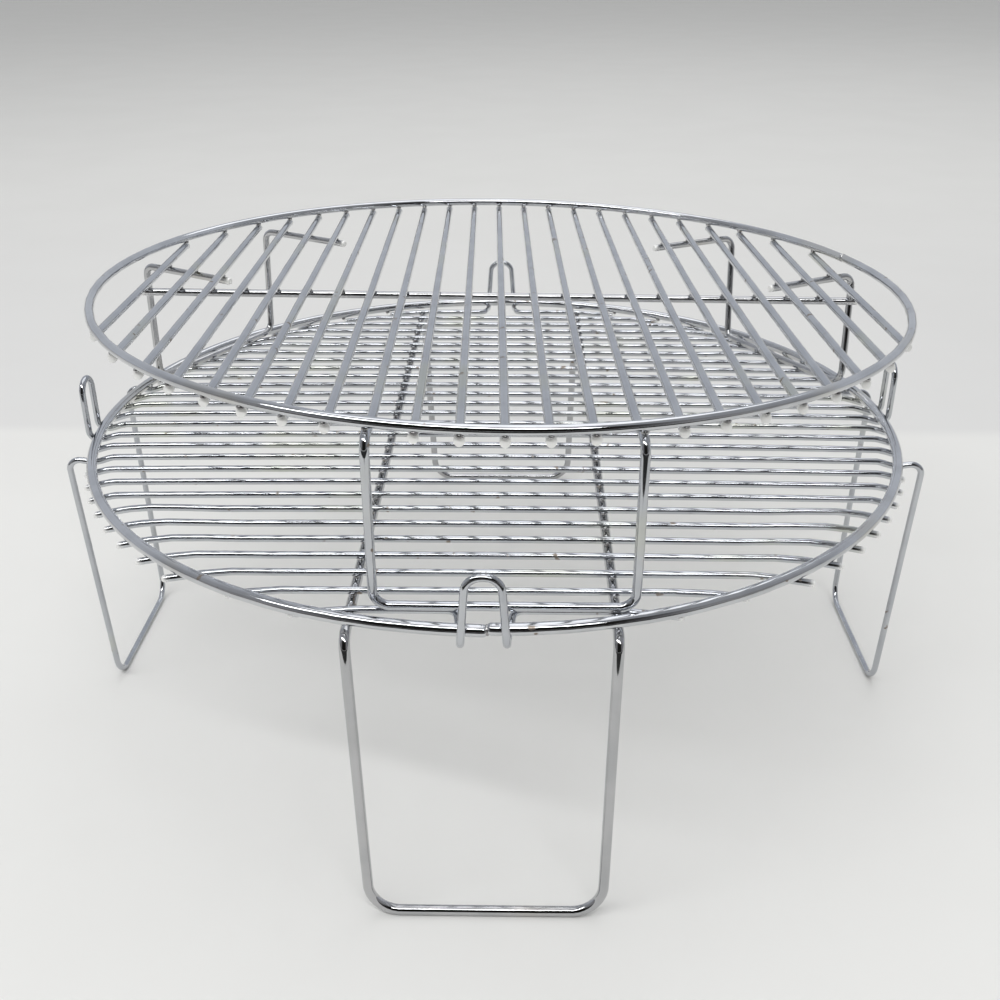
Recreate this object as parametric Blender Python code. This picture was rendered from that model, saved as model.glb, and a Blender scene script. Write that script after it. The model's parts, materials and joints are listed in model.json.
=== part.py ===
"""A two-tier round wire cooling rack: two welded racks, the upper one standing loose on the lower one.

Metres, +Z up. The origin is on the table, under the middle of the lower rack. The front is -Y.
The lower grid wires run along X and the upper ones along Y.
"""

import math

import bpy
from mathutils import Euler, Matrix, Vector

GAP = 0.0003  # left between wires that are welded together or rest on each other

# Wire diameters.
LOWER_RING_WIRE = 0.0040
LEG_FRAME_WIRE = 0.0035
LOWER_GRID_WIRE = 0.0025
UPPER_RING_WIRE = 0.0034
UPPER_GRID_WIRE = 0.0030
UPPER_LEG_WIRE = 0.0030

# Lower rack. Radii and half widths are to the middle of the wire.
LOWER_RADIUS = 0.1625
LOWER_RING_HEIGHT = 0.1103
LOWER_ROWS = 28
LOWER_PITCH = 0.01105
LOWER_END_RADIUS = 0.1657
OUTER_END_RADIUS = 0.1612  # the two outermost wires on each side are cut shorter
GRID_BEND_RADIUS = 0.1540  # the grid wires bend down here, to pass under the ring
GRID_BEND_HEIGHT = 0.1087
CROWN = 0.0011  # the grid's middle stands this much above its bends
FRONT_LOOP_ROW = 0
SIDE_LEG_ROWS = (10, 17)
LEFT_LOOP_ROWS = (12, 13)
RIGHT_LOOP_ROWS = (14, 15)
REAR_LOOP_ROW = 27

MAIN_FRAME_X = -0.0009  # the leg frame is welded this far off the middle
MAIN_RAIL_X = 0.0416
MAIN_LEG_TOP_Y = 0.1600
MAIN_FOOT_Y = 0.1675
MAIN_FOOT_X = 0.0389
MAIN_TOP_BEND = 0.0050
MAIN_FOOT_BEND = 0.0110
MAIN_TILT = math.radians(17.14)  # turns the frame's section so that its feet rest on flats

SIDE_LEG_TOP_X = 0.1684
SIDE_LEG_TOP_HEIGHT = 0.1080
SIDE_FOOT_X = 0.1646
SIDE_FOOT_Y = 0.0350
SIDE_TOP_BEND = 0.0045
SIDE_FOOT_BEND = 0.0090
SIDE_TILT = math.radians(22.99)

LOOP_RADIUS_OUT = 0.1670  # where the upright loops stand, outside the ring
LOOP_TOP_HEIGHT = 0.1310
LOOP_HALF_WIDTH = 0.0070  # the front and rear loops narrow towards the top
LOOP_TOP_HALF_WIDTH = 0.0053
LOOP_ROOT_HALF_WIDTH = 0.0088
LOOP_ROOT_BEND = 0.0035

# Upper rack. Its own origin is the middle of its ring.
UPPER_RADIUS = 0.1568
UPPER_RING_HEIGHT = 0.1689
UPPER_ROWS = 23
UPPER_PITCH = 0.0129
UPPER_END_RADIUS = 0.1570
CROSS_BAR_LENGTH = 0.2900
CROSS_BAR_Y = 0.0020
UPPER_PLACE = (0.0027, 0.0006)  # the loose upper rack stands this far off the lower one's middle,
UPPER_TURN = math.radians(1.3)  # turned this much,
UPPER_DROP_BACK = math.radians(1.15)  # and leaning this much to the rear
UPPER_DROP_RIGHT = math.radians(1.0)  # and to the right, as its legs aren't equal

UPPER_FRONT_ROWS = (8, 14)  # these grid wires run on into the front leg
UPPER_SPREAD_Y = 0.1400  # and spread a little from here
UPPER_FRONT_TOP_X = 0.0397
UPPER_FRONT_TOP_Y = 0.1549
UPPER_LEG_ANGLES = {"rear_right": 30, "rear_left": 150}
UPPER_LEG_TOP_RADIUS = 0.1549
UPPER_LEG_TOP_HALF_WIDTH = 0.0397
UPPER_STUB_LENGTH = 0.0480
UPPER_FEET = {  # where each foot's two corners stand on the lower rack, inside its ring
    "front": ((-0.0341, -0.1515), (0.0460, -0.1518)),
    "rear_right": ((0.1543, 0.0375), (0.1138, 0.1018)),
    "rear_left": ((-0.1157, 0.1084), (-0.1534, 0.0418)),
}
UPPER_TOP_BEND = 0.0045
UPPER_FOOT_BEND = 0.0055
UPPER_FRONT_TILT = math.radians(16.84)
UPPER_LEG_TILT = math.radians(20.88)

# Resolution.
RING_SEGMENTS = 72
WIRE_SIDES = 8
BEND_STEP = math.radians(22.5)
DOME_STEPS = 4

# Heights that follow from the wires lying on each other.
HALF_SIDE = math.pi / WIRE_SIDES  # turns a level wire's section so that its flats lie level
FLAT = math.cos(HALF_SIDE)  # a wire's radius to the flat of its section, as a share
LOWER_EDGE_HEIGHT = LOWER_RING_HEIGHT - LOWER_RING_WIRE / 2 - 1.3 * GAP - LOWER_GRID_WIRE / 2
RAIL_DROP = LOWER_GRID_WIRE / 2 + GAP + LEG_FRAME_WIRE / 2
MAIN_FOOT_HEIGHT = FLAT * LEG_FRAME_WIRE / 2
SIDE_FOOT_HEIGHT = FLAT * LOWER_GRID_WIRE / 2
UPPER_FOOT_HEIGHT = GRID_BEND_HEIGHT + LOWER_GRID_WIRE / 2 + GAP + UPPER_LEG_WIRE / 2
UPPER_GRID_DROP = UPPER_RING_WIRE / 2 + GAP + UPPER_GRID_WIRE / 2  # below the upper ring
UPPER_BAR_DROP = UPPER_GRID_DROP + UPPER_GRID_WIRE / 2 + GAP + UPPER_LEG_WIRE / 2


def clear_scene():
    for obj in list(bpy.data.objects):
        bpy.data.objects.remove(obj, do_unlink=True)


def make_collection(name):
    collection = bpy.data.collections.new(name)
    bpy.context.scene.collection.children.link(collection)
    return collection


def chrome(name, color, roughness):
    material = bpy.data.materials.new(name)
    material.use_nodes = True
    shader = material.node_tree.nodes["Principled BSDF"]
    shader.inputs["Base Color"].default_value = (*color, 1.0)
    shader.inputs["Metallic"].default_value = 1.0
    shader.inputs["Roughness"].default_value = roughness
    return material


def group_empty(name, collection, matrix):
    empty = bpy.data.objects.new(name, None)
    empty.empty_display_size = 0.02
    empty.matrix_world = matrix
    collection.objects.link(empty)
    return empty


def place(obj, group, material, collection):
    """Puts a new object in the collection and in its rack's own frame."""
    for owner in list(obj.users_collection):
        owner.objects.unlink(obj)
    collection.objects.link(obj)
    obj.parent = group
    obj.data.materials.append(material)


# Paths


def bend_points(before, corner, after, radius):
    """The arc that rounds a corner, as points from one tangent point to the other."""
    inward = (before - corner).normalized()
    onward = (after - corner).normalized()
    half = inward.angle(onward) / 2
    reach = radius / math.tan(half)
    centre = corner + (inward + onward).normalized() * (radius / math.sin(half))
    start = (corner + inward * reach - centre).normalized()
    end = (corner + onward * reach - centre).normalized()
    sweep = start.angle(end)
    steps = max(2, math.ceil(sweep / BEND_STEP))
    shares = [i / steps for i in range(steps + 1)]
    return [centre + start.slerp(end, share) * radius for share in shares]


def rounded(corners, closed=False):
    """A path through corners, each (point, bend radius). Radius 0 keeps the point itself."""
    points = [Vector(point) for point, _ in corners]
    path = []
    for i, (_, radius) in enumerate(corners):
        inner = closed or 0 < i < len(corners) - 1
        if radius and inner:
            path += bend_points(points[i - 1], points[i], points[(i + 1) % len(points)], radius)
        else:
            path.append(points[i])
    return path


def wire(name, path, diameter, closed=False, tilt=HALF_SIDE):
    """A round wire along a path. The tilt turns its section about the path."""
    curve = bpy.data.curves.new(name, "CURVE")
    curve.dimensions = "3D"
    curve.bevel_depth = diameter / 2
    curve.bevel_resolution = WIRE_SIDES // 2 - 2
    curve.use_fill_caps = True
    spline = curve.splines.new("POLY")
    spline.points.add(len(path) - 1)
    for point, position in zip(spline.points, path):
        point.co = (*position, 1.0)
        point.tilt = tilt
    spline.use_cyclic_u = closed
    spline.use_smooth = True
    return bpy.data.objects.new(name, curve)


def ring(name, radius, diameter, height):
    bpy.ops.mesh.primitive_torus_add(
        major_radius=radius,
        minor_radius=diameter / 2,
        major_segments=RING_SEGMENTS,
        minor_segments=WIRE_SIDES,
        location=(0, 0, height),
    )
    obj = bpy.context.object
    obj.name = name
    obj.data.name = name
    obj.data.shade_smooth()
    return obj


# Lower rack


def row_y(row):
    return (row - (LOWER_ROWS - 1) / 2) * LOWER_PITCH


def half_chord(radius, offset):
    return math.sqrt(radius * radius - offset * offset)


def grid_height(x, y):
    """The lower grid is slightly domed, and bends down near the ring to pass under it."""
    radius = math.hypot(x, y)
    if radius < GRID_BEND_RADIUS:
        return GRID_BEND_HEIGHT + CROWN * (1 - (radius / GRID_BEND_RADIUS) ** 2)
    share = (radius - GRID_BEND_RADIUS) / (LOWER_RADIUS - GRID_BEND_RADIUS)
    return GRID_BEND_HEIGHT + (LOWER_EDGE_HEIGHT - GRID_BEND_HEIGHT) * share


def stations(offset, start, end):
    """Where a wire this far off the middle has points: evenly over the dome, at its bends, at its ends."""
    bend = half_chord(GRID_BEND_RADIUS, offset)
    inner = [bend * (i / DOME_STEPS - 1) for i in range(2 * DOME_STEPS + 1)]
    if end < start:
        inner.reverse()
    low, high = sorted((start, end))
    return [start] + [at for at in inner if low < at < high] + [end]


def row_run(row, start, end):
    """Points of a grid wire from one x to another."""
    y = row_y(row)
    return [((x, y, grid_height(x, y)), 0) for x in stations(y, start, end)]


def row_reach(row):
    outermost = min(row, LOWER_ROWS - 1 - row) < 2
    return half_chord(OUTER_END_RADIUS if outermost else LOWER_END_RADIUS, row_y(row))


def plain_row(row):
    return rounded(row_run(row, -row_reach(row), row_reach(row)))


def end_loop_wire(row, side):
    """The outermost wire at the front (side -1) or rear (side 1), its middle bent out and up."""
    y = row_y(row)
    out = side * LOOP_RADIUS_OUT
    root = LOOP_ROOT_HALF_WIDTH
    half = LOOP_HALF_WIDTH
    run_end = root + 2 * LOOP_ROOT_BEND
    half_loop = [
        ((root, y, grid_height(root, y)), LOOP_ROOT_BEND),
        ((half, side * LOWER_RADIUS, LOWER_EDGE_HEIGHT), 0),
        ((half, out, LOWER_EDGE_HEIGHT), LOOP_ROOT_BEND),
        ((LOOP_TOP_HALF_WIDTH, out, LOOP_TOP_HEIGHT), LOOP_TOP_HALF_WIDTH * 0.98),
    ]
    corners = row_run(row, -row_reach(row), -run_end)
    corners += [((-x, y, z), bend) for (x, y, z), bend in half_loop]
    corners += half_loop[::-1]
    corners += row_run(row, run_end, row_reach(row))
    return rounded(corners)


def hairpin_wire(rows, side):
    """Two neighbouring grid wires joined outside the ring, on the left (side -1) or right (side 1)."""
    first, second = rows
    out = side * LOOP_RADIUS_OUT
    under = side * half_chord(LOWER_RADIUS, row_y(first))
    half = LOWER_PITCH / 2 * 0.98
    corners = row_run(first, -side * row_reach(first), under)
    corners += [
        ((out, row_y(first), LOWER_EDGE_HEIGHT), LOOP_ROOT_BEND),
        ((out, row_y(first), LOOP_TOP_HEIGHT), half),
        ((out, row_y(second), LOOP_TOP_HEIGHT), half),
        ((out, row_y(second), LOWER_EDGE_HEIGHT), LOOP_ROOT_BEND),
    ]
    corners += row_run(second, under, -side * row_reach(second))
    return rounded(corners)


def main_leg_frame():
    """Two rails under the grid, running on into a U-leg at the front and one at the rear."""
    corners = []
    for side in (-1, 1):
        rail_x = MAIN_FRAME_X - side * MAIN_RAIL_X
        rail_end = side * (MAIN_LEG_TOP_Y - 2 * MAIN_TOP_BEND)
        heights = [(y, grid_height(rail_x, y) - RAIL_DROP) for y in stations(rail_x, -rail_end, rail_end)]
        corners += [((rail_x, y, z), 0) for y, z in heights]
        for end, order in ((-side, 1), (side, -1)):
            leg = [
                ((MAIN_FRAME_X + end * MAIN_RAIL_X, side * MAIN_LEG_TOP_Y, heights[-1][1]), MAIN_TOP_BEND),
                ((end * MAIN_FOOT_X, side * MAIN_FOOT_Y, MAIN_FOOT_HEIGHT), MAIN_FOOT_BEND),
            ]
            corners += leg[::order]
    return rounded(corners, closed=True)


def side_leg_frame():
    """Two grid wires that run on under the ring into a U-leg on the left and one on the right."""
    corners = []
    for side, rows in ((1, SIDE_LEG_ROWS), (-1, SIDE_LEG_ROWS[::-1])):
        under = side * half_chord(LOWER_RADIUS, row_y(rows[0]))
        corners += row_run(rows[0], -under, under)
        foot_y = math.copysign(SIDE_FOOT_Y, row_y(rows[0]))
        corners += [
            ((side * SIDE_LEG_TOP_X, row_y(rows[0]), SIDE_LEG_TOP_HEIGHT), SIDE_TOP_BEND),
            ((side * SIDE_FOOT_X, foot_y, SIDE_FOOT_HEIGHT), SIDE_FOOT_BEND),
            ((side * SIDE_FOOT_X, -foot_y, SIDE_FOOT_HEIGHT), SIDE_FOOT_BEND),
            ((side * SIDE_LEG_TOP_X, row_y(rows[1]), SIDE_LEG_TOP_HEIGHT), SIDE_TOP_BEND),
        ]
    return rounded(corners, closed=True)


def build_lower_rack(collection, materials):
    group = group_empty("lower_rack", collection, Matrix.Identity(4))
    thin = LOWER_GRID_WIRE
    looped = [
        wire("front_loop_wire", end_loop_wire(FRONT_LOOP_ROW, -1), thin),
        wire("rear_loop_wire", end_loop_wire(REAR_LOOP_ROW, 1), thin),
        wire("left_loop_wire", hairpin_wire(LEFT_LOOP_ROWS, -1), thin),
        wire("right_loop_wire", hairpin_wire(RIGHT_LOOP_ROWS, 1), thin),
        wire("side_leg_frame", side_leg_frame(), thin, closed=True, tilt=SIDE_TILT),
    ]
    shaped = {FRONT_LOOP_ROW, REAR_LOOP_ROW, *SIDE_LEG_ROWS, *LEFT_LOOP_ROWS, *RIGHT_LOOP_ROWS}
    plain = [row for row in range(LOWER_ROWS) if row not in shaped]
    rows = [wire(f"lower_grid_wire_{row + 1:02d}", plain_row(row), thin) for row in plain]
    for obj in looped + rows:
        place(obj, group, materials["grid"], collection)
    edge = ring("lower_ring", LOWER_RADIUS, LOWER_RING_WIRE, LOWER_RING_HEIGHT)
    place(edge, group, materials["ring"], collection)
    frame = wire("main_leg_frame", main_leg_frame(), LEG_FRAME_WIRE, closed=True, tilt=MAIN_TILT)
    place(frame, group, materials["frame"], collection)


# Upper rack


def upper_row_x(row):
    return (row - (UPPER_ROWS - 1) / 2) * UPPER_PITCH


def upper_row(row):
    x = upper_row_x(row)
    reach = half_chord(UPPER_END_RADIUS, x)
    return rounded([((x, -reach, -UPPER_GRID_DROP), 0), ((x, reach, -UPPER_GRID_DROP), 0)])


def upper_rack_matrix():
    lean = Euler((-UPPER_DROP_BACK, UPPER_DROP_RIGHT, UPPER_TURN)).to_matrix().to_4x4()
    middle = Vector((*UPPER_PLACE, UPPER_RING_HEIGHT))
    return Matrix.Translation(middle) @ lean


def front_leg(foot_corners, rack):
    """Two grid wires that run on under the ring into the front U-leg."""
    corners = []
    for side, row, foot in zip((-1, 1), UPPER_FRONT_ROWS, foot_corners):
        x = upper_row_x(row)
        leg = [
            ((x, half_chord(UPPER_END_RADIUS, x), -UPPER_GRID_DROP), 0),
            ((x, -UPPER_SPREAD_Y, -UPPER_GRID_DROP), 0),
            ((side * UPPER_FRONT_TOP_X, -UPPER_FRONT_TOP_Y, -UPPER_GRID_DROP), UPPER_TOP_BEND),
            (rack.inverted() @ Vector((*foot, UPPER_FOOT_HEIGHT)), UPPER_FOOT_BEND),
        ]
        corners += leg[::-side]
    return rounded(corners)


def rear_leg(angle, foot_corners, rack):
    """A U-leg at this angle round the rack: its ends run inwards under the grid, its foot rests below."""
    outward = Vector((math.cos(angle), math.sin(angle), 0))
    along = Vector((-outward.y, outward.x, 0))
    corners = []
    for side, foot in zip((-1, 1), foot_corners):
        top = outward * UPPER_LEG_TOP_RADIUS + along * side * UPPER_LEG_TOP_HALF_WIDTH
        top.z = -UPPER_BAR_DROP
        leg = [
            (top - outward * UPPER_STUB_LENGTH, 0),
            (top, UPPER_TOP_BEND),
            (rack.inverted() @ Vector((*foot, UPPER_FOOT_HEIGHT)), UPPER_FOOT_BEND),
        ]
        corners += leg[::-side]
    return rounded(corners)


def build_upper_rack(collection, materials):
    rack = upper_rack_matrix()
    group = group_empty("upper_rack", collection, rack)
    edge = ring("upper_ring", UPPER_RADIUS, UPPER_RING_WIRE, 0)
    place(edge, group, materials["ring"], collection)
    grid = [
        wire(f"upper_grid_wire_{row + 1:02d}", upper_row(row), UPPER_GRID_WIRE)
        for row in range(UPPER_ROWS)
        if row not in UPPER_FRONT_ROWS
    ]
    path = front_leg(UPPER_FEET["front"], rack)
    grid.append(wire("upper_leg_front", path, UPPER_GRID_WIRE, tilt=UPPER_FRONT_TILT))
    for obj in grid:
        place(obj, group, materials["grid"], collection)
    reach = CROSS_BAR_LENGTH / 2
    bar = rounded([((x, CROSS_BAR_Y, -UPPER_BAR_DROP), 0) for x in (-reach, reach)])
    place(wire("upper_cross_bar", bar, UPPER_LEG_WIRE), group, materials["frame"], collection)
    for name, degrees in UPPER_LEG_ANGLES.items():
        path = rear_leg(math.radians(degrees), UPPER_FEET[name], rack)
        obj = wire(f"upper_leg_{name}", path, UPPER_LEG_WIRE, tilt=UPPER_LEG_TILT)
        place(obj, group, materials["frame"], collection)


def main():
    clear_scene()
    collection = make_collection("cooling_rack")
    materials = {
        "ring": chrome("ring_chrome", (0.74, 0.75, 0.77), 0.14),
        "frame": chrome("frame_chrome", (0.76, 0.76, 0.76), 0.12),
        "grid": chrome("grid_chrome", (0.72, 0.74, 0.77), 0.18),
    }
    build_lower_rack(collection, materials)
    build_upper_rack(collection, materials)


main()
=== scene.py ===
"""The looks of a two-tier round wire cooling rack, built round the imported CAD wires.

Each CAD wire's middle line is read back from its mesh, and the wire is swept again along it, finer,
with smooth bends, rounded cut ends and fine waviness. Welds go where two wires of one rack cross.
"""

import bisect
import json
import math
import random

import bmesh
import bpy
from mathutils import Matrix, Vector, kdtree, noise

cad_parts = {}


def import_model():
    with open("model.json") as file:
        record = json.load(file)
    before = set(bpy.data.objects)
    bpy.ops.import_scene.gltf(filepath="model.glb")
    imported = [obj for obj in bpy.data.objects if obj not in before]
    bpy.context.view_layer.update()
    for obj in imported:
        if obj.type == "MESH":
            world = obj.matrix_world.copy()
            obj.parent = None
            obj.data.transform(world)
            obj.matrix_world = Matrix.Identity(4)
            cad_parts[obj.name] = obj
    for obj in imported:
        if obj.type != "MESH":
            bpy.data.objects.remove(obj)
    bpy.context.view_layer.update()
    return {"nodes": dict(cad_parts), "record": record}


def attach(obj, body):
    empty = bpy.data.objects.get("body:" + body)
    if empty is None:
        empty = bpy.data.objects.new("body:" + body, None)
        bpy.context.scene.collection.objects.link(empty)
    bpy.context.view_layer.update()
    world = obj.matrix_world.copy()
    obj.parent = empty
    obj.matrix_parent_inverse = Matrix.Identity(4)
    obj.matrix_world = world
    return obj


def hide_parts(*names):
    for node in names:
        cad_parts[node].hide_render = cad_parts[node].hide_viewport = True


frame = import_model()

# The CAD wires.
CAD_SIDES = 8
MERGE = 0.00001

# The finer wires, in metres and radians.
LINE_STEP = 0.0010  # between points of a wire's middle line before it is thinned out
STATION_STEP = 0.0120  # the longest stretch between two cross-sections
STATION_TURN = math.radians(6)  # the largest bend between two cross-sections
STRAIGHT_RATIO = 2.5  # a stretch this many times longer than the next is a straight, not a bend
SIDES = 16
RING_SIDES = 20
WAVINESS = 0.00005  # drawn wire is never quite straight
WAVE_LENGTH = 0.0450
END_SHAPE = ((0.80, 1.00), (0.45, 0.97), (0.18, 0.88), (0.00, 0.70))  # distance and radius, in radii
# These ends are flared by the cutter.
STUB_SHAPE = ((1.60, 1.00), (0.80, 1.08), (0.25, 1.12), (0.05, 1.06), (0.00, 0.92))
STUB_SLANT = math.tan(math.radians(24))  # these ends are cut facing a little downwards
STUB_NODES = "upper_grid_wire"
TIP_LENGTH = 0.0018  # the painted reflection on a cut end: pale and near matte, like the floor it mirrors
END_CLEARANCE = 1.3  # no other cross-section comes this close to a cut end, in lengths of its shape

# Welds.
WELD_REACH = 0.0008  # wires welded together are at most this far apart
WELD_ZONE = 0.0035  # a weld discolours the wire about this far
WELD_FINE = 2  # in weld zones: cross-sections lie closer together this near a weld
WELD_SPACING = 3  # in weld zones: two welds of the same two wires are further apart than this
WELD_SPREAD = 0.80  # half its width, in radii of the thinner wire
WELD_DEPTH = 0.55  # half its thickness, in the same radii
WELD_BUMPS = 0.16
WELD_BUMP_SCALE = 1.7
SEAM_ANGLES = {"lower_ring": math.radians(-89.7), "upper_ring": math.radians(18.6)}
SEAM_GAP = 0.00015
SEAM_STEP = {"lower_ring": (0.00020, 0.00085), "upper_ring": (0.00005, 0.00015)}  # out and up
SEAM_BLEND = 0.0100
SEAM_BEAD = {"lower_ring": 0.90, "upper_ring": 1.05}  # its radius, in wire radii
SEAM_BEAD_WIDTH = 0.0004
# Across the bead: distance in bead widths, and radius.
SEAM_PROFILE = ((-1.6, 0.80), (-1.0, 0.97), (-0.4, 1.0), (0.4, 0.99), (1.0, 0.96), (1.6, 0.80))
SEAM_BUMPS = 0.05
SEAM_BUMP_SCALE = 1.5

SEED = 11


# Reading the CAD wires


def neighbours(section, seen):
    """The vertices next to a section that haven't been seen yet."""
    return {edge.other_vert(vert) for vert in section for edge in vert.link_edges} - seen


def in_order(section):
    """A section's vertices by number, as a set has no order that is the same in every run."""
    return sorted(section, key=lambda vert: vert.index)


def middle(section):
    return sum((vert.co for vert in in_order(section)), Vector()) / len(section)


def start_section(mesh):
    """The cross-section furthest from its neighbours, so that its vertices can't be mistaken."""
    tree = kdtree.KDTree(len(mesh.verts))
    for i, vert in enumerate(mesh.verts):
        tree.insert(vert.co, i)
    tree.balance()
    loneliest = max(mesh.verts, key=lambda vert: tree.find_n(vert.co, CAD_SIDES + 1)[-1][2])
    return {mesh.verts[i] for _, i, _ in tree.find_n(loneliest.co, CAD_SIDES)}


def walk(section, seen):
    """Cross-sections one after another along the wire, from this one on."""
    found = []
    while section:
        found.append(section)
        seen |= section
        section = neighbours(section, seen)
    return found


def trace(node):
    """The middle line of a CAD wire: its points in order, its radius, and whether it is closed."""
    mesh = bmesh.new()
    mesh.from_mesh(frame["nodes"][node].data)
    bmesh.ops.remove_doubles(mesh, verts=mesh.verts, dist=MERGE)
    mesh.verts.index_update()
    mesh.verts.ensure_lookup_table()
    start = start_section(mesh)
    centre = middle(start)
    beside = neighbours(start, set(start))
    onward = (in_order(beside)[0].co - centre).normalized()
    ahead = {vert for vert in beside if (vert.co - centre).dot(onward) > 0}
    seen = set(start)
    forward = walk(ahead, seen)
    closed = seen >= beside
    backward = [] if closed else walk(beside - ahead, seen)
    sections = backward[::-1] + [start] + forward
    points = [middle(section) for section in sections]
    radius = sum((vert.co - centre).length for vert in in_order(start)) / CAD_SIDES
    mesh.free()
    return points, radius, closed and len(beside) > CAD_SIDES


# Middle lines


def tangents(points, closed):
    """The line's direction at each point: a bend's circle, or the straight that runs into the bend."""
    count = len(points)
    found = []
    for i in range(count):
        before = points[i] - points[i - 1] if closed or i > 0 else None
        after = points[(i + 1) % count] - points[i] if closed or i < count - 1 else None
        if before is None or (after is not None and after.length > STRAIGHT_RATIO * before.length):
            found.append(after.normalized())
        elif after is None or before.length > STRAIGHT_RATIO * after.length:
            found.append(before.normalized())
        else:
            mixed = after.normalized() * before.length + before.normalized() * after.length
            found.append(mixed.normalized())
    return found


def smooth_line(points, closed):
    """The middle line with round bends, as points about LINE_STEP apart."""
    directions = tangents(points, closed)
    count = len(points)
    line = []
    for i in range(count if closed else count - 1):
        a, b = points[i], points[(i + 1) % count]
        span = (b - a).length
        start, end = directions[i] * span, directions[(i + 1) % count] * span
        steps = max(1, round(span / LINE_STEP))
        for k in range(steps):
            t = k / steps
            line.append(
                a * (2 * t**3 - 3 * t**2 + 1)
                + start * (t**3 - 2 * t**2 + t)
                + b * (3 * t**2 - 2 * t**3)
                + end * (t**3 - t**2)
            )
    if not closed:
        line.append(points[-1].copy())
    return line


def lengths_along(line):
    """The distance along the line of each of its points."""
    along = [0.0]
    for a, b in zip(line, line[1:]):
        along.append(along[-1] + (b - a).length)
    return along


def thin_out(line, along, zones):
    """The points that a smooth sweep needs: closer together in bends and near welds."""
    kept = [0]
    for i in range(1, len(line) - 1):
        last = kept[-1]
        turn = (line[last + 1] - line[last]).angle(line[i + 1] - line[i])
        far = along[i] - along[last]
        in_zone = any(abs(along[i] - zone) < WELD_FINE * WELD_ZONE for zone in zones)
        if turn > STATION_TURN or far > STATION_STEP or (in_zone and far > LINE_STEP):
            kept.append(i)
    return kept + [len(line) - 1]


class Wire:
    """One wire: its node and middle line, and where it is welded."""

    def __init__(self, node):
        points, self.radius, self.closed = trace(node)
        self.node = node
        self.line = smooth_line(points, self.closed)
        self.seamed = node in SEAM_ANGLES
        self.stubs = node.startswith(STUB_NODES)
        if self.seamed:
            self.open_at(SEAM_ANGLES[node])
        self.along = lengths_along(self.line)
        self.welds = []

    def open_at(self, angle):
        """Starts and ends a ring at its butt weld, its ends a little out of line."""
        middle_point = sum(self.line, Vector()) / len(self.line)
        toward = Vector((math.cos(angle), math.sin(angle), 0))
        start = max(range(len(self.line)), key=lambda i: (self.line[i] - middle_point).dot(toward))
        self.line = self.line[start:] + self.line[: start + 1]
        self.closed = False
        out, up = SEAM_STEP[self.node]
        offset = toward * out + Vector((0, 0, up))
        first = self.line[0].copy()
        self.seam = first
        self.seam_direction = (self.line[1] - self.line[0]).normalized()
        for i, point in enumerate(self.line):
            share = math.exp(-(point - first).length / SEAM_BLEND)
            side = 1 if i < len(self.line) / 2 else -1
            self.line[i] = point + offset * side * share / 2
        self.line[0] = self.line[0] + self.seam_direction * SEAM_GAP / 2
        self.line[-1] = self.line[-1] - self.seam_direction * SEAM_GAP / 2


def find_welds(wires):
    """Where two wires of a rack nearly touch: (wire, other, point on it, point on the other)."""
    owners = [(wire, i) for wire in wires for i in range(len(wire.line))]
    order = {wire.node: n for n, wire in enumerate(wires)}
    tree = kdtree.KDTree(len(owners))
    for n, (wire, i) in enumerate(owners):
        tree.insert(wire.line[i], n)
    tree.balance()
    reach = 2 * max(wire.radius for wire in wires) + WELD_REACH
    close = {}
    for wire, i in owners:
        for _, n, distance in tree.find_range(wire.line[i], reach):
            other, j = owners[n]
            limit = wire.radius + other.radius + WELD_REACH
            if order[other.node] > order[wire.node] and distance < limit:
                close.setdefault((wire.node, other.node), []).append((distance, i, j))
    by_name = {wire.node: wire for wire in wires}
    welds = []
    for (first, second), pairs in close.items():
        wire, other = by_name[first], by_name[second]
        taken = []
        for _, i, j in sorted(pairs):
            if all(abs(wire.along[i] - at) > WELD_SPACING * WELD_ZONE for at in taken):
                taken.append(wire.along[i])
                wire.welds.append(wire.along[i])
                other.welds.append(other.along[j])
                welds.append((wire, other, i, j))
    return welds


# Sweeping a wire


def end_stations(length, radius, shape):
    """Distances from a wire's start, and the share of its radius there, for each of its cut ends."""
    start = [(far * radius, share) for far, share in reversed(shape)]
    return start, [(length - far, share) for far, share in reversed(start)]


def point_at(line, along, distance):
    """The point at a distance along the line."""
    i = max(0, min(bisect.bisect_right(along, distance) - 1, len(line) - 2))
    span = along[i + 1] - along[i]
    return line[i].lerp(line[i + 1], (distance - along[i]) / span)


def stations(wire):
    """The cross-sections of a wire: (middle, distance along it, share of its radius)."""
    kept = [(wire.line[i], wire.along[i], 1.0) for i in thin_out(wire.line, wire.along, wire.welds)]
    if wire.closed:
        return kept
    shape = STUB_SHAPE if wire.stubs else END_SHAPE
    start, end = end_stations(wire.along[-1], wire.radius, shape)
    clear = shape[0][0] * wire.radius * END_CLEARANCE
    inner = [station for station in kept if clear < station[1] < wire.along[-1] - clear]
    first, last = (
        [(point_at(wire.line, wire.along, at), at, share) for at, share in part]
        for part in (start, end)
    )
    return first + inner + last


def frames(points, closed):
    """A pair of axes across the line at each point, turning as little as possible along it."""
    count = len(points)
    across = []
    side = None
    for i in range(count):
        before = points[i - 1] if closed or i > 0 else points[i]
        after = points[(i + 1) % count] if closed or i < count - 1 else points[i]
        direction = (after - before).normalized()
        side = direction.orthogonal() if side is None else side - direction * side.dot(direction)
        side.normalize()
        across.append((side.copy(), direction.cross(side)))
    return across


def waviness(point, seed):
    """A slow, tiny sideways wander."""
    return noise.noise_vector(point / WAVE_LENGTH + Vector((seed, 0, 0))) * WAVINESS


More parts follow.
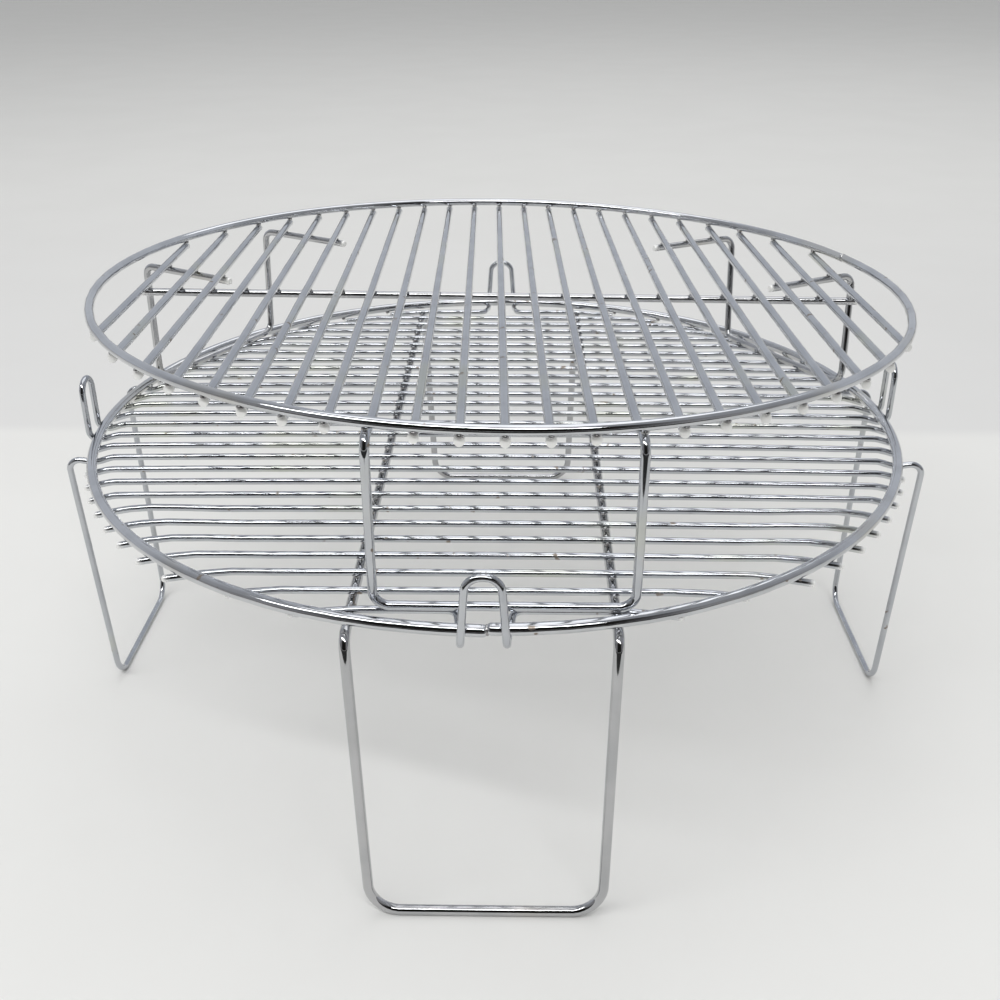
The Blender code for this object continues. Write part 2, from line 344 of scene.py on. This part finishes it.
def sweep(wire, seed, sides):
    """The wire's mesh, with its unrolled place and its nearness to welds stored on its points."""
    places = stations(wire)
    if wire.closed and (places[0][0] - places[-1][0]).length < LINE_STEP / 2:
        places.pop()
    axes = frames([place[0] for place in places], wire.closed)
    mesh = bmesh.new()
    unrolled = mesh.verts.layers.float_vector.new("unrolled")
    heat = mesh.verts.layers.float.new("heat")
    tip = mesh.verts.layers.float.new("tip")
    length = wire.along[-1]
    sections = []
    for (centre, at, share), (side, up) in zip(places, axes):
        centre = centre + waviness(centre, seed)
        near = min((abs(at - weld) for weld in wire.welds), default=1)
        to_end = min(at, length - at)
        # painted reflection: how much of a cut end is painted pale and near matte, like the floor it
        # mirrors
        painted_tip = 0.0 if wire.closed or wire.seamed else math.exp(-((to_end / TIP_LENGTH) ** 2))
        onward = up.cross(side) * (-1 if at < length / 2 else 1)
        slant = STUB_SLANT * math.exp(-((to_end / wire.radius) ** 2)) if wire.stubs else 0.0
        section = []
        for k in range(sides):
            angle = 2 * math.pi * k / sides
            spoke = side * math.cos(angle) + up * math.sin(angle)
            spot = centre + spoke * wire.radius * share
            vert = mesh.verts.new(spot + onward * slant * (spot - centre).z)
            flat = Vector((math.cos(angle), math.sin(angle), 0)) * wire.radius
            vert[unrolled] = flat + Vector((0, 0, at))
            vert[heat] = math.exp(-((near / WELD_ZONE) ** 2))
            vert[tip] = painted_tip
            section.append(vert)
        sections.append(section)
    pairs = list(zip(sections, sections[1:]))
    if wire.closed:
        pairs.append((sections[-1], closing_turn(sections[-1], sections[0])))
    for a, b in pairs:
        for k in range(sides):
            mesh.faces.new((a[k], a[(k + 1) % sides], b[(k + 1) % sides], b[k]))
    if not wire.closed:
        mesh.faces.new(sections[0][::-1])
        mesh.faces.new(sections[-1])
    bmesh.ops.recalc_face_normals(mesh, faces=mesh.faces)
    for face in mesh.faces:
        face.smooth = len(face.verts) == 4
    data = bpy.data.meshes.new(wire.node + "_wire")
    mesh.to_mesh(data)
    mesh.free()
    return data


def closing_turn(last, first):
    """The first section's vertices, counted from the one nearest to the last section's first."""
    offset = min(range(len(first)), key=lambda k: (first[k].co - last[0].co).length)
    return first[offset:] + first[:offset]


# Welds


def weld_blob(mesh, wire, other, i, j, rng):
    """A small nugget where two crossing wires have melted into each other."""
    a, b = wire.line[i], other.line[j]
    normal = (b - a).normalized()
    along = (wire.line[min(i + 1, len(wire.line) - 1)] - wire.line[max(i - 1, 0)]).normalized()
    along = (along - normal * along.dot(normal)).normalized()
    across = normal.cross(along)
    thin = min(wire.radius, other.radius)
    spread = thin * WELD_SPREAD * rng.uniform(0.9, 1.1)
    depth = thin * WELD_DEPTH
    contact = a.lerp(b, wire.radius / (wire.radius + other.radius))
    turn = Matrix((along, across, normal)).transposed()
    made = bmesh.ops.create_icosphere(mesh, subdivisions=2, radius=1)
    shift = Vector((rng.uniform(0, 50), rng.uniform(0, 50), rng.uniform(0, 50)))
    for vert in made["verts"]:
        bump = 1 + WELD_BUMPS * noise.noise(vert.co * WELD_BUMP_SCALE + shift)
        shaped = Vector((vert.co.x * spread, vert.co.y * spread, vert.co.z * depth)) * bump
        vert.co = contact + turn @ shaped


def seam_bead(mesh, wire, rng):
    """The collar of metal squeezed out where a ring's two ends are butt-welded."""
    direction = wire.seam_direction
    side = direction.orthogonal().normalized()
    up = direction.cross(side)
    radius = wire.radius * SEAM_BEAD[wire.node]
    shift = rng.uniform(0, 50)
    sections = []
    for far, share in SEAM_PROFILE:
        centre = wire.seam + direction * far * SEAM_BEAD_WIDTH
        section = []
        for k in range(RING_SIDES):
            angle = 2 * math.pi * k / RING_SIDES
            spoke = side * math.cos(angle) + up * math.sin(angle)
            at = spoke * SEAM_BUMP_SCALE + Vector((shift, far * 0.3, 0))
            bump = 1 + SEAM_BUMPS * noise.noise(at)
            section.append(mesh.verts.new(centre + spoke * radius * share * bump))
        sections.append(section)
    for a, b in zip(sections, sections[1:]):
        for k in range(RING_SIDES):
            mesh.faces.new((a[k], a[(k + 1) % RING_SIDES], b[(k + 1) % RING_SIDES], b[k]))
    mesh.faces.new(sections[0][::-1])
    mesh.faces.new(sections[-1])


def weld_mesh(name, wires, welds, rng):
    """The weld metal of one rack: its nuggets and its ring's bead."""
    mesh = bmesh.new()
    for wire, other, i, j in welds:
        weld_blob(mesh, wire, other, i, j, rng)
    for wire in wires:
        if wire.seamed:
            seam_bead(mesh, wire, rng)
    bmesh.ops.recalc_face_normals(mesh, faces=mesh.faces)
    for face in mesh.faces:
        face.smooth = True
    data = bpy.data.meshes.new(name)
    mesh.to_mesh(data)
    mesh.free()
    return data


# Materials

# Sizes of the noises that vary the chrome, per metre.
PATCH_SCALE = 55.0
MARK_SCALE = 2600.0
MARK_STRETCH = (1, 1, 0.02)  # draw marks run along the wire
GRAIN_SCALE = 1500.0
SPOT_SCALE = 210.0
STAIN_SCALE = 24.0
SCORCH_SCALE = 420.0

SPOT_COLOUR = (0.20, 0.15, 0.10)
SCORCH_COLOUR = (0.24, 0.22, 0.20)
# Painted reflection: the cut ends get this pale, near matte colour in place of the pale floor they
# mirror.
PAINTED_REFLECTION_TIP = (0.93, 0.93, 0.91)
STAIN_SHARE = 0.5
SPOT_SHARE = 0.75
SCORCH_SHARE = 0.55
TIP_METALLIC = 0.15
TIP_ROUGHNESS = 0.22  # these three are added to the plate's own
SCORCH_ROUGHNESS = 0.16
SPOT_ROUGHNESS = 0.30

WELD_BRIGHT = (0.50, 0.50, 0.50)
WELD_DULL = (0.31, 0.30, 0.30)
WELD_BROWN = (0.36, 0.31, 0.24)

PAPER_NEAR = (0.83, 0.83, 0.815)
# painted shade: the paper just behind its fold, where an upright backdrop would be shaded
PAPER_FOLD_SHADE = (0.76, 0.76, 0.755)
PAPER_MOTTLE = (0.60, 0.59, 0.57)


class Nodes:
    """A short way to add and join shader nodes."""

    def __init__(self, tree):
        self.tree = tree

    def add(self, kind, **values):
        node = self.tree.nodes.new(kind)
        for name, value in values.items():
            setattr(node, name, value)
        return node

    def join(self, output, socket):
        self.tree.links.new(output, socket)

    def put(self, value, socket):
        """Links an output to a socket, or sets a plain value on it."""
        if isinstance(value, bpy.types.NodeSocket):
            self.join(value, socket)
        elif socket.type == "RGBA":
            socket.default_value = (*value, 1)
        else:
            socket.default_value = value

    def fill(self, node, **inputs):
        """Sets or links a node's inputs by name, with _ for a space."""
        for name, value in inputs.items():
            self.put(value, node.inputs[name.replace("_", " ")])
        return node

    def noise(self, vector, scale, detail=3.0, roughness=0.55):
        node = self.add("ShaderNodeTexNoise")
        self.fill(node, Vector=vector, Scale=scale, Detail=detail, Roughness=roughness)
        return node.outputs["Fac"]

    def stretch(self, vector, scale):
        node = self.add("ShaderNodeMapping")
        self.fill(node, Vector=vector, Scale=scale)
        return node.outputs["Vector"]

    def ramp(self, value, low, high, out_low=0.0, out_high=1.0):
        node = self.add("ShaderNodeMapRange", interpolation_type="SMOOTHSTEP")
        self.fill(node, Value=value, From_Min=low, From_Max=high, To_Min=out_low, To_Max=out_high)
        return node.outputs["Result"]

    def math(self, operation, a, b):
        node = self.add("ShaderNodeMath", operation=operation)
        for socket, value in zip(node.inputs, (a, b)):
            self.put(value, socket)
        return node.outputs[0]

    def mix(self, factor, a, b):
        node = self.add("ShaderNodeMix", data_type="RGBA")
        sockets = [s for s in node.inputs if s.type == "RGBA"]
        self.join(factor, node.inputs["Factor"])
        for socket, value in zip(sockets, (a, b)):
            self.put(value, socket)
        return next(s for s in node.outputs if s.type == "RGBA")


def new_material(name):
    material = bpy.data.materials.new(name)
    material.use_nodes = True
    return material, Nodes(material.node_tree), material.node_tree.nodes["Principled BSDF"]


def chrome(name, bright, dull, roughness, spots, tint):
    """Bright chrome plate on drawn wire: draw marks, dull patches, tarnish, darker welds, and a painted
    reflection on the tips: pale and near matte, like the floor they mirror.
    """
    material, nodes, shader = new_material(name)
    place = nodes.add("ShaderNodeTexCoord").outputs["Object"]
    unrolled = nodes.add("ShaderNodeAttribute", attribute_name="unrolled").outputs["Vector"]
    heat = nodes.add("ShaderNodeAttribute", attribute_name="heat").outputs["Fac"]
    tip = nodes.add("ShaderNodeAttribute", attribute_name="tip").outputs["Fac"]
    patches = nodes.noise(place, PATCH_SCALE)
    marks = nodes.noise(nodes.stretch(unrolled, MARK_STRETCH), MARK_SCALE, 2.0)
    grain = nodes.noise(place, GRAIN_SCALE, 4.0)
    spot = nodes.ramp(nodes.noise(place, SPOT_SCALE, 2.0), spots, spots + 0.05)
    stain = nodes.ramp(nodes.noise(place, STAIN_SCALE, 2.0), 0.55, 0.72)
    body = nodes.mix(nodes.ramp(patches, 0.35, 0.65), bright, dull)
    body = nodes.mix(nodes.math("MULTIPLY", stain, STAIN_SHARE), body, tint)
    body = nodes.mix(nodes.math("MULTIPLY", spot, SPOT_SHARE), body, SPOT_COLOUR)
    scorch = nodes.math("MULTIPLY", heat, nodes.ramp(nodes.noise(place, SCORCH_SCALE), 0.30, 0.62))
    body = nodes.mix(nodes.math("MULTIPLY", scorch, SCORCH_SHARE), body, SCORCH_COLOUR)
    # painted reflection on the cut ends
    body = nodes.mix(tip, body, PAINTED_REFLECTION_TIP)
    rough = nodes.ramp(patches, 0.3, 0.7, roughness * 0.8, roughness * 1.3)
    rough = nodes.math("ADD", rough, nodes.math("MULTIPLY", tip, TIP_ROUGHNESS))
    rough = nodes.math("ADD", rough, nodes.math("MULTIPLY", scorch, SCORCH_ROUGHNESS))
    rough = nodes.math("ADD", rough, nodes.math("MULTIPLY", spot, SPOT_ROUGHNESS))
    relief = nodes.math("ADD", nodes.math("MULTIPLY", marks, 0.6), nodes.math("MULTIPLY", grain, 0.4))
    bump = nodes.fill(nodes.add("ShaderNodeBump"), Strength=0.16, Distance=0.00006, Height=relief)
    nodes.fill(
        shader,
        Base_Color=body,
        Metallic=nodes.ramp(tip, 0.0, 1.0, 1.0, TIP_METALLIC),
        Roughness=rough,
        Normal=bump.outputs["Normal"],
    )
    return material


def weld_metal():
    """Plated weld metal: rougher and darker than the wire, and brown in places."""
    material, nodes, shader = new_material("weld_metal")
    place = nodes.add("ShaderNodeTexCoord").outputs["Object"]
    colour = nodes.mix(nodes.ramp(nodes.noise(place, 130.0), 0.42, 0.60), WELD_BRIGHT, WELD_DULL)
    colour = nodes.mix(nodes.ramp(nodes.noise(place, 90.0), 0.62, 0.72), colour, WELD_BROWN)
    lumps = nodes.noise(place, 1100.0, 5.0)
    bump = nodes.fill(nodes.add("ShaderNodeBump"), Strength=0.5, Distance=0.00015, Height=lumps)
    nodes.fill(
        shader,
        Base_Color=colour,
        Metallic=1.0,
        Roughness=nodes.ramp(lumps, 0.3, 0.7, 0.16, 0.36),
        Normal=bump.outputs["Normal"],
    )
    return material


def paper(name, near, far, fold_y):
    """Pale backing paper, lying as the floor, with painted shade: a little darker just behind its fold,
    fading back further off.
    """
    material, nodes, shader = new_material(name)
    place = nodes.add("ShaderNodeTexCoord").outputs["Object"]
    depth = nodes.add("ShaderNodeSeparateXYZ")
    nodes.join(place, depth.inputs[0])
    # painted shade: darker from the fold, fading back to the near colour over 0.9 m
    fold = nodes.ramp(depth.outputs["Y"], fold_y - 0.008, fold_y + 0.012)
    fold = nodes.math("MULTIPLY", fold, nodes.ramp(depth.outputs["Y"], fold_y, fold_y + 0.9, 1.0, 0.0))
    mottle = nodes.ramp(nodes.noise(place, 9.0), 0.3, 0.7, 0.0, 0.06)
    colour = nodes.mix(fold, near, far)
    colour = nodes.mix(mottle, colour, PAPER_MOTTLE)
    fibres = nodes.noise(place, 900.0, 4.0)
    bump = nodes.fill(nodes.add("ShaderNodeBump"), Strength=0.06, Distance=0.0002, Height=fibres)
    nodes.fill(shader, Base_Color=colour, Roughness=0.62, Normal=bump.outputs["Normal"])
    return material


# One chrome plate in three base tones: the frame and grid copies are darker than the ring's, painted
# shade for the darker surroundings they mirror.
MATERIALS = {
    "ring_chrome": chrome(
        "ring_chrome_plate", (0.60, 0.61, 0.63), (0.52, 0.53, 0.55), 0.065, 0.70, (0.60, 0.58, 0.52)
    ),
    "frame_chrome": chrome(
        "frame_chrome_shaded_plate", (0.52, 0.52, 0.53), (0.45, 0.455, 0.465), 0.075, 0.72, (0.52, 0.50, 0.46)
    ),
    "grid_chrome": chrome(
        "grid_chrome_shaded_plate", (0.54, 0.555, 0.58), (0.47, 0.485, 0.515), 0.085, 0.68, (0.56, 0.57, 0.46)
    ),
}


# The object


def add_piece(name, data, body, material):
    """A visible piece that rides on one of the two racks."""
    piece = bpy.data.objects.new(name, data)
    bpy.context.scene.collection.objects.link(piece)
    data.materials.append(material)
    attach(piece, body)
    return piece


def build_rack():
    """Every CAD wire swept again, and each rack's weld metal."""
    slots = {part["node"]: part["material_slot"] for part in frame["record"]["subparts"]}
    weld_material = weld_metal()
    rng = random.Random(SEED)
    noise.seed_set(SEED)  # otherwise the waviness takes its offsets from the clock
    bodies = frame["record"]["behaviour"]["bodies"]
    for body, nodes in bodies.items():
        wires = [Wire(node) for node in nodes]
        welds = find_welds(wires)
        for wire in wires:
            sides = RING_SIDES if wire.seamed else SIDES
            data = sweep(wire, rng.uniform(0, 100), sides)
            slot = slots[wire.node]
            piece = add_piece(wire.node + "_wire", data, body, MATERIALS[slot])
            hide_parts(wire.node)
        data = weld_mesh(body + "_welds", wires, welds, rng)
        add_piece(body + "_welds", data, body, weld_material)


# The studio

CAMERA_PLACE = (0.0100, -0.4499, 0.2996)
CAMERA_PITCH = 0.46992  # below the horizon
CAMERA_YAW = -0.01777
CAMERA_ROLL = -0.00199
CAMERA_LENS = 41.493
SENSOR = 36.0

FLOOR_SIZE = 12.0
FOLD_Y = 0.237
PAPER_FRONT = -0.415  # the wires mirror a dark room beyond the paper's front edge, laid there as a card of painted shade
CARD_SIZE = (3.0, 1.6)
STRIP_PLACE = (-0.36, -0.98, 1.55)
STRIP_SIZE = (2.54, 0.14)
STRIP_POWER = 17.0
FILL_PLACE = (0.2, 0.9, 2.0)
FILL_SIZE = (2.6, 1.6)
FILL_TARGET = (0, 1.0, 0)
FILL_POWER = 15.0
BACK_LIGHT = (0.575, 0.60, 0.645)
CEILING = (0.36, 0.37, 0.39)
SIDE_WALL = (0.30, 0.30, 0.31)
GLOW = (1.25, 1.25, 1.22)
GLOW_ANGLES = (0.90, 1.00, 1.12, 1.26)  # it rises and falls between these, in radians up from the front
GLOW_END = (0.10, 0.28)  # it fades to the right between these
DARK_ROOM = (0.012, 0.011, 0.010)
AMBIENT = (0.47, 0.47, 0.467)
BACKGROUND = (0.68, 0.68, 0.675)


def camera():
    """The camera at the photo's viewing angle."""
    data = bpy.data.cameras.new("photo_camera")
    data.lens = CAMERA_LENS
    data.sensor_width = SENSOR
    data.clip_start = 0.01
    forward = Vector(
        (
            math.sin(CAMERA_YAW) * math.cos(CAMERA_PITCH),
            math.cos(CAMERA_YAW) * math.cos(CAMERA_PITCH),
            -math.sin(CAMERA_PITCH),
        )
    )
    right = Vector((math.cos(CAMERA_YAW), -math.sin(CAMERA_YAW), 0))
    roll = Matrix.Rotation(-CAMERA_ROLL, 3, forward)
    right = roll @ right
    up = right.cross(forward)
    obj = bpy.data.objects.new("photo_camera", data)
    turn = Matrix((right, up, -forward)).transposed().to_4x4()
    obj.matrix_world = Matrix.Translation(CAMERA_PLACE) @ turn
    bpy.context.scene.collection.objects.link(obj)
    bpy.context.scene.camera = obj


def flat_stage(name, size, centre, material):
    """A level sheet that belongs to the studio."""
    mesh = bmesh.new()
    bmesh.ops.create_grid(mesh, x_segments=1, y_segments=1, size=0.5)
    bmesh.ops.scale(mesh, vec=(*size, 1), verts=mesh.verts)
    data = bpy.data.meshes.new(name)
    mesh.to_mesh(data)
    mesh.free()
    obj = bpy.data.objects.new(name, data)
    obj.location = centre
    data.materials.append(material)
    bpy.context.scene.collection.objects.link(obj)
    return obj


def floor():
    """The paper, and a dark card that only the wires see: painted shade for the unlit room in front,
    seen only in the chrome.
    """
    sheet = paper("backing_paper", PAPER_NEAR, PAPER_FOLD_SHADE, FOLD_Y)
    flat_stage("studio_floor", (FLOOR_SIZE, FLOOR_SIZE), (0, 0, 0), sheet)
    # painted shade: a black sheet in front that only the chrome's reflections see
    material, _, shader = new_material("painted_shade_card")
    shader.inputs["Base Color"].default_value = (*DARK_ROOM, 1)
    shader.inputs["Roughness"].default_value = 0.9
    card = flat_stage("painted_shade_card", CARD_SIZE, (0, PAPER_FRONT - CARD_SIZE[1] / 2, 0.002), material)
    card.visible_camera = False
    card.visible_diffuse = False
    card.visible_shadow = False


def area_light(name, place, size, power, target=(0, 0, 0.1)):
    data = bpy.data.lights.new(name, "AREA")
    data.shape = "RECTANGLE"
    data.size, data.size_y = size
    data.energy = power
    obj = bpy.data.objects.new(name, data)
    obj.location = place
    obj.rotation_mode = "QUATERNION"
    obj.rotation_quaternion = (Vector(target) - Vector(place)).to_track_quat("-Z", "Y")
    bpy.context.scene.collection.objects.link(obj)


def world():
    """Even light on the paper, and the room that the wires mirror.

    The room is dark in front, with a glow over it, and pale behind.
    """
    scene_world = bpy.data.worlds.new("studio_room")
    scene_world.use_nodes = True
    bpy.context.scene.world = scene_world
    nodes = Nodes(scene_world.node_tree)
    direction = nodes.add("ShaderNodeSeparateXYZ")
    nodes.join(nodes.add("ShaderNodeTexCoord").outputs["Generated"], direction.inputs[0])
    across, depth, height = direction.outputs
    angle = nodes.math("ARCTAN2", height, nodes.math("MULTIPLY", depth, -1.0))
    rise, full, fade, gone = GLOW_ANGLES
    aside = nodes.ramp(nodes.math("ABSOLUTE", across, 0.0), 0.45, 0.85)
    front = nodes.mix(aside, DARK_ROOM, SIDE_WALL)
    above = nodes.mix(nodes.ramp(angle, 1.5, 2.5), CEILING, BACK_LIGHT)
    colour = nodes.mix(nodes.ramp(angle, rise, full), front, above)
    glow = nodes.math("MULTIPLY", nodes.ramp(angle, rise, full), nodes.ramp(angle, fade, gone, 1.0, 0.0))
    glow = nodes.math("MULTIPLY", glow, nodes.ramp(aside, 0.0, 1.0, 1.0, 0.0))
    glow = nodes.math("MULTIPLY", glow, nodes.ramp(across, *GLOW_END, 1.0, 0.0))
    colour = nodes.mix(glow, colour, GLOW)
    rays = nodes.add("ShaderNodeLightPath").outputs
    colour = nodes.mix(rays["Is Glossy Ray"], AMBIENT, colour)
    colour = nodes.mix(rays["Is Camera Ray"], colour, BACKGROUND)
    background = scene_world.node_tree.nodes["Background"]
    nodes.join(colour, background.inputs["Color"])
    background.inputs["Strength"].default_value = 1.0


build_rack()
camera()
floor()
area_light("ceiling_strip", STRIP_PLACE, STRIP_SIZE, STRIP_POWER)
area_light("ceiling_fill", FILL_PLACE, FILL_SIZE, FILL_POWER, FILL_TARGET)
world()
bpy.context.scene.view_settings.view_transform = "Standard"
